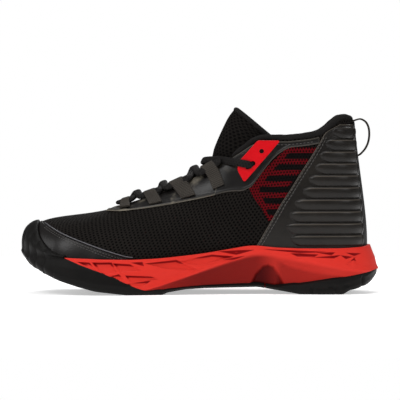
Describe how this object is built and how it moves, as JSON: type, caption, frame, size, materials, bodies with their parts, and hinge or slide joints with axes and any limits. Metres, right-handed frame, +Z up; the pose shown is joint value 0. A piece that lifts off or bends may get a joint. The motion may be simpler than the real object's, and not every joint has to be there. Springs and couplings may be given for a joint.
{
  "type": "basketball high top",
  "caption": "Right basketball high top: padded ribbed heel, mesh bootie, webbing-loop lacing, red eyelet tabs, red cup midsole with black rubber outsole, flexing tongue and heel pull loop.",
  "frame": {"origin": "centre of the bounding box's footprint, on the floor under the tread", "axes": "+X to the heel, -X to the toe, +Y to the outer (lateral) side, +Z up"},
  "size_m": [0.2963, 0.1141, 0.1535],
  "materials": {
    "outsole_rubber": "matte moulded black rubber",
    "tread_rubber": "matte black rubber, ribbed",
    "midsole_foam": "satin red-orange moulded foam",
    "shank_plastic": "plain moulded plastic, hidden",
    "board": "stitched fibre board, hidden",
    "sockliner_foam": "dark brushed textile over foam",
    "bootie_mesh": "black open mesh with rows of small holes",
    "toe_skin": "semi-gloss synthetic skin",
    "eyestay_skin": "dark grey semi-gloss synthetic skin",
    "striped_mesh": "black mesh with dark red woven bars",
    "heel_skin": "satin dark skin over padded ribs",
    "stiffener": "thermoplastic sheet, hidden",
    "foam": "open-cell padding, hidden",
    "binding": "knitted binding",
    "lining_textile": "brushed knit lining",
    "tongue_mesh": "black spacer mesh with large holes",
    "red_tab": "moulded red, satin gloss",
    "webbing": "dark grey woven webbing",
    "lace_textile": "black braided polyester",
    "aglet_film": "rolled black plastic film",
    "piping_cord": "light grey welded line"
  },
  "bodies": {
    "shoe": {"outsole_forefoot": "outsole_rubber", "outsole_heel": "outsole_rubber", "forefoot_tread": "tread_rubber", "heel_tread": "tread_rubber", "midsole": "midsole_foam", "shank_plate": "shank_plastic", "strobel_board": "board", "sockliner": "sockliner_foam", "upper_mesh": "bootie_mesh", "toe_puff": "stiffener", "toe_mudguard": "toe_skin", "piping_medial": "piping_cord", "piping_lateral": "piping_cord", "eyestay_medial": "eyestay_skin", "eyestay_lateral": "eyestay_skin", "ankle_mesh_medial": "striped_mesh", "ankle_mesh_lateral": "striped_mesh", "heel_panel_medial": "heel_skin", "heel_panel_lateral": "heel_skin", "back_stay": "heel_skin", "heel_counter": "stiffener", "collar_foam": "foam", "collar_roll": "binding", "lining": "lining_textile", "tongue_lower": "tongue_mesh", "eyelet_tab_medial": "red_tab", "eyelet_tab_lateral": "red_tab", "lace_loops_medial": "webbing", "lace_loops_lateral": "webbing", "lace": "lace_textile", "lace_tail_medial": "lace_textile", "lace_tail_lateral": "lace_textile", "aglet_medial": "aglet_film", "aglet_lateral": "aglet_film", "pull_loop_anchors": "webbing"},
    "tongue_top": {"tongue_upper": "tongue_mesh", "tongue_binding": "binding"},
    "pull_loop": {"pull_loop": "webbing"}
  },
  "joints": [
    {"name": "tongue_flex", "type": "hinge", "parent": "shoe", "child": "tongue_top", "pos_m": [0.012, 0, 0.1135], "axis": [0, -1, 0], "range_deg": [-8, 30], "stiffness_Nm_per_rad": 0.3},
    {"name": "pull_loop_swing", "type": "hinge", "parent": "shoe", "child": "pull_loop", "pos_m": [0.1315, 0, 0.129], "axis": [0, 0, 1], "range_deg": [-28, 28], "stiffness_Nm_per_rad": 0.02}
  ]
}
